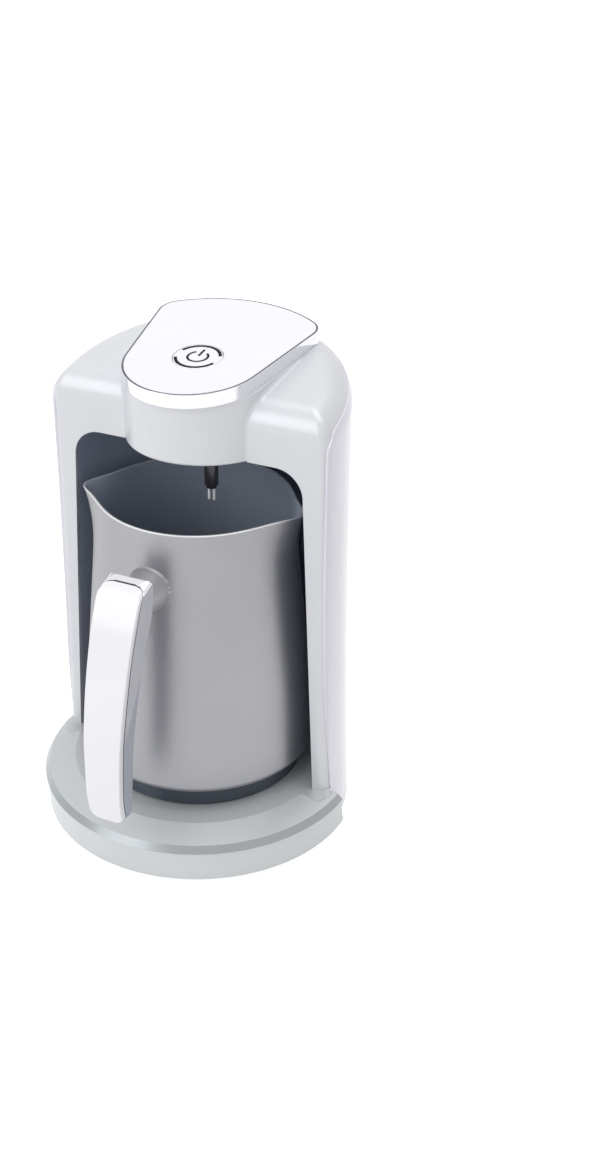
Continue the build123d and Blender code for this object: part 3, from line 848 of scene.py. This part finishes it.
def between(rungs: tuple[tuple[float, float, float, float], ...], steps: int) -> list[tuple[float, ...]]:
    """Lays a smooth path through a ladder of rungs.

    Args:
        rungs: each rung's values, from the bottom up.
        steps: how many parts each gap is cut into.

    Returns:
        The rungs with the interpolated ones between them.
    """
    out = []
    for index in range(len(rungs) - 1):
        before = rungs[max(index - 1, 0)]
        start, end = rungs[index], rungs[index + 1]
        after = rungs[min(index + 2, len(rungs) - 1)]
        for step in range(steps):
            t = step / steps
            out.append(
                tuple(
                    0.5
                    * (
                        2 * b
                        + (c - a) * t
                        + (2 * a - 5 * b + 4 * c - d) * t * t
                        + (3 * b - a - 3 * c + d) * t**3
                    )
                    for a, b, c, d in zip(before, start, end, after)
                )
            )
    out.append(rungs[-1])
    return out


@dataclass
class Rung:
    """One cross-section of the handle: a level rectangle turned about X.

    Attributes:
        centre: its middle, in millimetres.
        width: its size along X.
        depth: its size from front to back.
        angle: how far its back edge is raised, in radians.
    """

    centre: Vector
    width: float
    depth: float
    angle: float


@dataclass
class Handle:
    """The pot's handle: a glossy cover, a bright upper frame, a grey grip and the dark seam between them.

    Attributes:
        place: where the pot's axis stands, in millimetres.
        ladder: front Y, front Z, back Y and back Z of each rung, from the bottom up.
        widths: heights and the handle's width there.
        cover_depth: how thick the cover is.
        seam: how far the seam lies inside the outline.
        seam_gap: how far the frame and the grip stand behind the cover.
        seam_bite: how far the seam reaches into the cover.
        seam_reach: how far behind the cover the seam ends, inside the frame and the grip.
        front_rounding: the rounding of the cover's edges.
        back_rounding: the rounding of the handle's back edges.
        joint: the point and the slope, in degrees, of the plane between frame and grip.
        end_radius: how far the corners of both ends are rounded in the front view.
    """

    place: tuple[float, float] = (-0.3, 0.3)
    ladder: tuple[tuple[float, float, float, float], ...] = (
        (-82.0, 34.2, -75.8, 33.2),
        (-83.9, 41.0, -74.5, 40.0),
        (-84.7, 50.0, -74.2, 49.5),
        (-83.8, 69.0, -72.2, 70.0),
        (-82.1, 80.0, -69.6, 82.0),
        (-79.6, 92.0, -66.5, 94.0),
        (-76.3, 104.0, -61.5, 108.5),
        (-72.3, 116.0, -55.8, 121.0),
        (-68.5, 125.0, -54.4, 129.5),
        (-66.0, 130.0, -54.6, 133.5),
        (-62.8, 133.6, -56.0, 135.3),
    )
    widths: tuple[tuple[float, float], ...] = (
        (33.0, 15.0),
        (60.0, 16.2),
        (92.0, 17.8),
        (120.0, 19.0),
        (136.0, 19.2),
    )
    cover_depth: float = 2.8
    seam: float = 0.3
    seam_gap: float = 0.7
    seam_bite: float = 0.2
    seam_reach: float = 1.0
    front_rounding: float = 1.1
    back_rounding: float = 3.0
    joint: tuple[float, float, float] = (-74.5, 80.5, 62.8)
    end_radius: float = 4.6

    def width(self, height: float) -> float:
        """Works out the handle's width.

        Args:
            height: where, in millimetres above the rest plane.

        Returns:
            The width in millimetres.
        """
        for (low, start), (high, end) in zip(self.widths, self.widths[1:]):
            if height <= high:
                return start + (end - start) * max(height - low, 0.0) / (high - low)
        return self.widths[-1][1]

    def rungs(self, front: float, back: float, inset: float = 0.0) -> list[Rung]:
        """Makes the cross-sections of one layer of the handle.

        Args:
            front: how far behind the outline's front the layer starts, in millimetres.
            back: how far behind the front it ends; 0 for the outline's back.
            inset: how far its sides lie inside the outline.

        Returns:
            The layer's rungs, from the bottom up.
        """
        out = []
        ladder = between(self.ladder, 6)
        steps = [math.hypot(b[0] - a[0], b[1] - a[1]) for a, b in zip(ladder, ladder[1:])]
        run = [sum(steps[:number]) for number in range(len(ladder))]
        for (front_y, front_z, back_y, back_z), gone in zip(ladder, run):
            left = max(self.end_radius - min(gone, run[-1] - gone), 0.0)
            corner = self.end_radius - math.sqrt(self.end_radius**2 - left**2)
            start = Vector((self.place[0], front_y + self.place[1], front_z))
            end = Vector((self.place[0], back_y + self.place[1], back_z))
            along = (end - start).normalized()
            last = start + along * back if back else end
            first = start + along * front
            middle = (first + last) / 2
            angle = math.atan2(along.z, along.y)
            width = self.width(middle.z) - 2 * (inset + corner)
            out.append(Rung(middle, width, (last - first).length, angle))
        return out

    def extruded(self, name: str, rungs: list[Rung]) -> bpy.types.Object:
        """Extrudes a rectangle from rung to rung.

        Args:
            name: the piece's name.
            rungs: its cross-sections, from the bottom up.

        Returns:
            The closed piece.
        """
        bpy.ops.object.select_all(action="DESELECT")
        bpy.ops.mesh.primitive_plane_add(size=1.0, location=(0.0, 0.0, 0.0))
        piece = bpy.context.object
        piece.name = name
        bpy.ops.object.mode_set(mode="EDIT")
        bpy.ops.mesh.select_mode(type="FACE")
        bpy.ops.mesh.select_all(action="SELECT")
        here = Rung(Vector((0.0, 0.0, 0.0)), 1.0 / MM, 1.0 / MM, 0.0)
        for number, rung in enumerate(rungs):
            step = (rung.centre - here.centre) * MM
            if number:
                bpy.ops.mesh.extrude_region_move(TRANSFORM_OT_translate={"value": step})
            else:
                bpy.ops.transform.translate(value=step)
            middle = rung.centre * MM
            bpy.ops.transform.rotate(value=here.angle, orient_axis="X", center_override=middle)
            grow = (rung.width / here.width, rung.depth / here.depth, 1.0)
            bpy.ops.transform.resize(value=grow, center_override=middle)
            bpy.ops.transform.rotate(value=-rung.angle, orient_axis="X", center_override=middle)
            here = rung
        bpy.ops.mesh.select_all(action="SELECT")
        bpy.ops.mesh.normals_make_consistent(inside=False)
        bpy.ops.object.mode_set(mode="OBJECT")
        return piece

    def cut(self, piece: bpy.types.Object, keep_upper: bool) -> None:
        """Cuts a piece at the joint between frame and grip, and closes the cut.

        Args:
            piece: the piece.
            keep_upper: keeps the part above the joint instead of the one below.
        """
        y, z, slope = self.joint
        normal = (0.0, -math.sin(math.radians(slope)), math.cos(math.radians(slope)))
        only(piece)
        bpy.ops.object.mode_set(mode="EDIT")
        bpy.ops.mesh.select_all(action="SELECT")
        bpy.ops.mesh.bisect(
            plane_co=(0.0, y * MM, z * MM),
            plane_no=normal,
            use_fill=True,
            clear_inner=keep_upper,
            clear_outer=not keep_upper,
        )
        bpy.ops.object.mode_set(mode="OBJECT")

    def front_edge(self, middle: Vector, first: Vector, last: Vector) -> bool:
        """Chooses the edges round the handle's front.

        Args:
            middle: the edge's middle, in millimetres; not used.
            first: the normal of one face at the edge.
            last: the normal of the other.

        Returns:
            True for an edge to be rounded.
        """
        return crossing(first, last, 30.0) and min(first.y, last.y) < -0.7 and max(first.y, last.y) > -0.6

    def back_edge(self, middle: Vector, first: Vector, last: Vector) -> bool:
        """Chooses the long edges at the handle's back.

        Args:
            middle: the edge's middle, in millimetres; not used.
            first: the normal of one face at the edge.
            last: the normal of the other.

        Returns:
            True for an edge to be rounded.
        """
        return crossing(first, last, 30.0) and max(first.y, last.y) > 0.7 and min(first.y, last.y) < 0.6

    def build(self) -> dict[str, bpy.types.Object]:
        """Models the handle's pieces.

        Returns:
            The cover, the frame, the grip and the seam by name.
        """
        cover = self.extruded("handle_cover_shaped", self.rungs(0.0, self.cover_depth))
        seam_front = self.cover_depth - self.seam_bite
        seam_back = self.cover_depth + self.seam_reach
        seam = self.extruded("handle_seam", self.rungs(seam_front, seam_back, self.seam))
        behind = self.cover_depth + self.seam_gap
        frame_piece = self.extruded("handle_frame_shaped", self.rungs(behind, 0.0))
        grip = self.extruded("handle_grip_shaped", self.rungs(behind, 0.0))
        soften(cover, self.front_edge, self.front_rounding)
        for piece in (frame_piece, grip):
            soften(piece, self.back_edge, self.back_rounding, 4)
        self.cut(frame_piece, True)
        self.cut(grip, False)
        for piece in (cover, seam, frame_piece, grip):
            shade(piece, 30.0)
        for piece, node in ((cover, "handle_cover"), (frame_piece, "handle_frame"), (grip, "handle_grip")):
            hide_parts(node)
        for piece in (cover, seam, frame_piece, grip):
            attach(piece, frame["nodes"]["pot_body"]["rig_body"])
        return {"cover": cover, "frame": frame_piece, "grip": grip, "seam": seam}

    def dress_all(self, pieces: dict[str, bpy.types.Object], shelf: dict[Finish, bpy.types.Material]) -> None:
        """Gives the pieces their materials.

        Args:
            pieces: what build returned.
            shelf: the built material of each finish.
        """
        for name, finish, slot in (
            ("cover", WHITE_ABS_AND_LIP_HIGHLIGHT, "white_gloss"),
            ("frame", CHROME, "chrome_trim"),
            ("grip", GRIP_GREY, "grip_grey"),
            ("seam", BLACK_RUBBER_AND_GAP_SHADE, "rubber"),
        ):
            dress(pieces[name], shelf[finish])


# ---------------------------------------------------------------- hand-modelled power sign


@dataclass
class PowerSign:
    """The broken ring and the power sign on the button, each a filled line a little proud of the face.

    Attributes:
        stroke: the ring's line width in millimetres.
        thin: the sign's line width.
        rise: how far it stands above the face.
        ring: the ring's mean radius.
        ring_arcs: start and extent of the ring's arcs, in degrees.
        sign: the power arc's mean radius.
        sign_arc: its start and extent.
        bar: where the bar starts and ends above the middle.
    """

    stroke: float = 1.35
    thin: float = 1.0
    rise: float = 0.06
    ring: float = 9.0
    ring_arcs: tuple[tuple[float, float], ...] = ((20.0, 140.0), (200.0, 140.0))
    sign: float = 4.2
    sign_arc: tuple[float, float] = (125.0, 290.0)
    bar: tuple[float, float] = (0.6, 6.1)

    def line(self, name: str, place: tuple[float, float], size: tuple[float, float]) -> bpy.types.Object:
        """Makes one flat rectangle.

        Args:
            name: the piece's name.
            place: its middle on the face, in millimetres.
            size: its sizes in millimetres.

        Returns:
            The rectangle.
        """
        bpy.ops.object.select_all(action="DESELECT")
        bpy.ops.mesh.primitive_plane_add(size=MM, location=(0.0, 0.0, 0.0))
        piece = bpy.context.object
        piece.name = name
        bpy.ops.object.mode_set(mode="EDIT")
        bpy.ops.mesh.select_all(action="SELECT")
        bpy.ops.transform.resize(value=(size[0], size[1], 1.0))
        bpy.ops.transform.translate(value=(place[0] * MM, place[1] * MM, 0.0))
        bpy.ops.object.mode_set(mode="OBJECT")
        return piece

    def arc(self, name: str, radius: float, width: float, start: float, extent: float) -> bpy.types.Object:
        """Spins a short line to an arc.

        Args:
            name: the piece's name.
            radius: its mean radius in millimetres.
            width: its line width.
            start: where it starts, in degrees from +X.
            extent: how far it goes.

        Returns:
            The flat arc.
        """
        piece = self.line(name, (radius, 0.0), (width, 0.001))
        only(piece)
        bpy.ops.object.mode_set(mode="EDIT")
        bpy.ops.mesh.select_all(action="SELECT")
        bpy.ops.mesh.remove_doubles(threshold=0.01 * MM)
        bpy.ops.transform.rotate(value=-math.radians(start), orient_axis="Z", center_override=(0.0, 0.0, 0.0))
        bpy.ops.mesh.spin(
            steps=max(12, int(extent / 5)),
            angle=-math.radians(extent),
            center=(0.0, 0.0, 0.0),
            axis=(0.0, 0.0, 1.0),
        )
        bpy.ops.object.mode_set(mode="OBJECT")
        return piece

    def build(self) -> bpy.types.Object:
        """Models the whole sign on the button's tilted face.

        Returns:
            The sign, which stands for the CAD strokes.
        """
        parts = [
            self.arc(f"sign_ring_{number}", self.ring, self.stroke, start, extent)
            for number, (start, extent) in enumerate(self.ring_arcs)
        ]
        parts.append(self.arc("sign_arc", self.sign, self.thin, *self.sign_arc))
        low, high = self.bar
        parts.append(self.line("sign_bar", (0.0, (low + high) / 2), (self.thin, high - low)))
        bpy.ops.object.select_all(action="DESELECT")
        for part in parts:
            part.select_set(True)
        bpy.context.view_layer.objects.active = parts[0]
        bpy.ops.object.join()
        sign = bpy.context.object
        sign.name = "power_sign"
        bpy.ops.object.mode_set(mode="EDIT")
        bpy.ops.mesh.select_all(action="SELECT")
        bpy.ops.mesh.normals_make_consistent(inside=False)
        bpy.ops.mesh.extrude_region_move(TRANSFORM_OT_translate={"value": (0.0, 0.0, 0.5 * MM)})
        bpy.ops.mesh.select_all(action="SELECT")
        bpy.ops.mesh.normals_make_consistent(inside=False)
        bpy.ops.transform.rotate(value=-PANEL_TILT, orient_axis="X", center_override=(0.0, 0.0, 0.0))
        face = BUTTON_CENTRE_MM + PANEL_NORMAL * (
            PANEL_UNDER_MM + TRIM_HEIGHT_MM - BUTTON_CENTRE_MM.dot(PANEL_NORMAL)
        )
        bpy.ops.transform.translate(value=(face + PANEL_NORMAL * (self.rise - 0.5)) * MM)
        bpy.ops.object.mode_set(mode="OBJECT")
        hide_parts("button_icon")
        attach(sign, frame["nodes"]["button_icon"]["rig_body"])
        return sign

    def dress_all(self, sign: bpy.types.Object, shelf: dict[Finish, bpy.types.Material]) -> None:
        """Fills the lines with dark ink.

        Args:
            sign: what build returned.
            shelf: the built material of each finish.
        """
        dress(sign, shelf[ICON_INK])


SECOND_FINISHES = (
    CHAMFER_PAINTED_REFLECTION,
    DARK_PBT_AND_GAP_SHADE,
    POT_INSIDE,
    POT_RIM,
    CHROME,
    GRIP_GREY,
    WHITE_ABS_AND_LIP_HIGHLIGHT,
    BLACK_RUBBER_AND_GAP_SHADE,
    ICON_INK,
)


# ---------------------------------------------------------------- studio


@dataclass
class Studio:
    """Pale floor, soft lamps and the camera.

    Attributes:
        azimuth: the camera's angle round the object, in degrees.
        elevation: its angle above the floor.
        roll: its tilt about the line of sight.
        place: where it stands, in metres.
        lens: focal length in millimetres over a frame 36 mm high.
        key_power: the front lamp's power in watts.
        top_power: the top lamp's power in watts.
        room_fill: how strongly the room lights diffuse surfaces.
        floor_lift: how much the floor is lifted where it is seen.
    """

    azimuth: float = 24.1
    elevation: float = 28.66
    roll: float = 0.8
    place: tuple[float, float, float] = (0.2708, -0.4985, 0.4168)
    lens: float = 46.63
    key_power: float = 5.0
    top_power: float = 4.0
    room_fill: float = 0.62
    floor_lift: float = 0.6

    def add_camera(self) -> None:
        """Adds the camera and makes it the scene's."""
        data = bpy.data.cameras.new("view_camera")
        data.sensor_fit = "VERTICAL"
        data.sensor_height = 36.0
        data.lens = self.lens
        data.clip_start = 0.02
        camera = bpy.data.objects.new("view_camera", data)
        bpy.context.scene.collection.objects.link(camera)
        turn = Matrix.Rotation(math.radians(self.azimuth), 4, "Z")
        tip = Matrix.Rotation(math.radians(90 - self.elevation), 4, "X")
        roll = Matrix.Rotation(math.radians(self.roll), 4, "Z")
        camera.matrix_world = Matrix.Translation(self.place) @ turn @ tip @ roll
        bpy.context.scene.camera = camera

    def add_lamp(self, name: str, place: Vector, size: float, power: float) -> None:
        """Adds one square soft lamp that faces the object.

        Args:
            name: the lamp's name.
            place: where it hangs, in metres.
            size: the length of its side.
            power: its power in watts.
        """
        data = bpy.data.lights.new(name, "AREA")
        data.shape = "SQUARE"
        data.size = size
        data.energy = power
        lamp = bpy.data.objects.new(name, data)
        bpy.context.scene.collection.objects.link(lamp)
        aim = (Vector((0.0, 0.0, 0.1)) - place).to_track_quat("-Z", "Y")
        lamp.matrix_world = Matrix.Translation(place) @ aim.to_matrix().to_4x4()

    def light(self) -> None:
        """Adds the lamps."""
        self.add_lamp("front_window", Vector((-0.55, -1.05, 0.75)), 0.9, self.key_power)
        self.add_lamp("top_softbox", Vector((0.1, 0.1, 1.25)), 0.8, self.top_power)

    def add_world(self) -> None:
        """Fills the room with even light and shows it as white."""
        world = bpy.data.worlds.new("pale_room")
        bpy.context.scene.world = world
        world.use_nodes = True
        tree = world.node_tree
        tree.nodes.clear()
        path = add_node(tree, "ShaderNodeLightPath", {}, {})
        seen = add_node(
            tree,
            "ShaderNodeMath",
            {"operation": "MAXIMUM"},
            {0: path.outputs["Is Camera Ray"], 1: path.outputs["Is Glossy Ray"]},
        )
        seen = add_node(
            tree,
            "ShaderNodeMath",
            {"operation": "MAXIMUM"},
            {0: seen.outputs[0], 1: path.outputs["Is Transmission Ray"]},
        )
        strength = add_node(
            tree, "ShaderNodeMapRange", {"To Min": self.room_fill, "To Max": 1.0}, {"Value": seen.outputs[0]}
        )
        back = add_node(
            tree, "ShaderNodeBackground", {"Color": WHITE}, {"Strength": strength.outputs["Result"]}
        )
        add_node(tree, "ShaderNodeOutputWorld", {}, {"Surface": back.outputs["Background"]})

    def floor_paper(self) -> bpy.types.Material:
        """Makes white paper that is lifted to white where it is seen, so that only a soft shadow shows.

        Returns:
            The floor's material.
        """
        made = bpy.data.materials.new("white_floor_paper")
        made.use_nodes = True
        tree = made.node_tree
        tree.nodes.clear()
        place = add_node(tree, "ShaderNodeTexCoord", {}, {})
        tooth = add_node(
            tree, "ShaderNodeTexNoise", {"Scale": 900.0, "Detail": 2.0}, {"Vector": place.outputs["Object"]}
        )
        bump = add_node(
            tree, "ShaderNodeBump", {"Strength": 0.05, "Distance": 0.0002}, {"Height": tooth.outputs["Fac"]}
        )
        sheet = add_node(
            tree,
            "ShaderNodeBsdfPrincipled",
            {"Base Color": (0.82, 0.82, 0.82, 1.0), "Roughness": 0.9},
            {"Normal": bump.outputs["Normal"]},
        )
        path = add_node(tree, "ShaderNodeLightPath", {}, {})
        seen = add_node(
            tree,
            "ShaderNodeMath",
            {"operation": "MAXIMUM"},
            {0: path.outputs["Is Camera Ray"], 1: path.outputs["Is Glossy Ray"]},
        )
        strength = add_node(
            tree, "ShaderNodeMapRange", {"To Max": self.floor_lift}, {"Value": seen.outputs[0]}
        )
        glow = add_node(
            tree, "ShaderNodeEmission", {"Color": WHITE}, {"Strength": strength.outputs["Result"]}
        )
        both = add_node(
            tree, "ShaderNodeAddShader", {}, {0: sheet.outputs["BSDF"], 1: glow.outputs["Emission"]}
        )
        add_node(tree, "ShaderNodeOutputMaterial", {}, {"Surface": both.outputs["Shader"]})
        return made

    def add_floor(self) -> None:
        """Adds the pale floor, which keeps the object's shadow."""
        bpy.ops.object.select_all(action="DESELECT")
        bpy.ops.mesh.primitive_plane_add(size=30.0, location=(0.0, 0.0, 0.0))
        floor = bpy.context.object
        floor.name = "studio_floor"
        dress(floor, self.floor_paper())


def main() -> None:
    """Builds every group in order, then the studio."""
    shelf: dict[Finish, bpy.types.Material] = {}
    for finish in SECOND_FINISHES:
        shelf[finish] = finish.build()
    for outfit in OUTFITS:
        for finish in list(outfit.smooth.values()) + list(outfit.plain.values()):
            if finish not in shelf:
                shelf[finish] = finish.build()
        pieces = outfit.build()
        outfit.dress_all(pieces, shelf)
        log.info("%s: %d smooth pieces, %d plain", outfit.title, len(pieces), len(outfit.plain))
    handle = Handle()
    handle_pieces = handle.build()
    handle.dress_all(handle_pieces, shelf)
    log.info("handle: %d pieces modelled", len(handle_pieces))
    sign = PowerSign()
    sign.dress_all(sign.build(), shelf)
    log.info("power sign: 1 piece modelled")
    studio = Studio()
    studio.add_world()
    studio.light()
    studio.add_floor()
    studio.add_camera()
    view = bpy.context.scene.view_settings
    view.view_transform = "Standard"


if __name__ == "__main__":
    main()
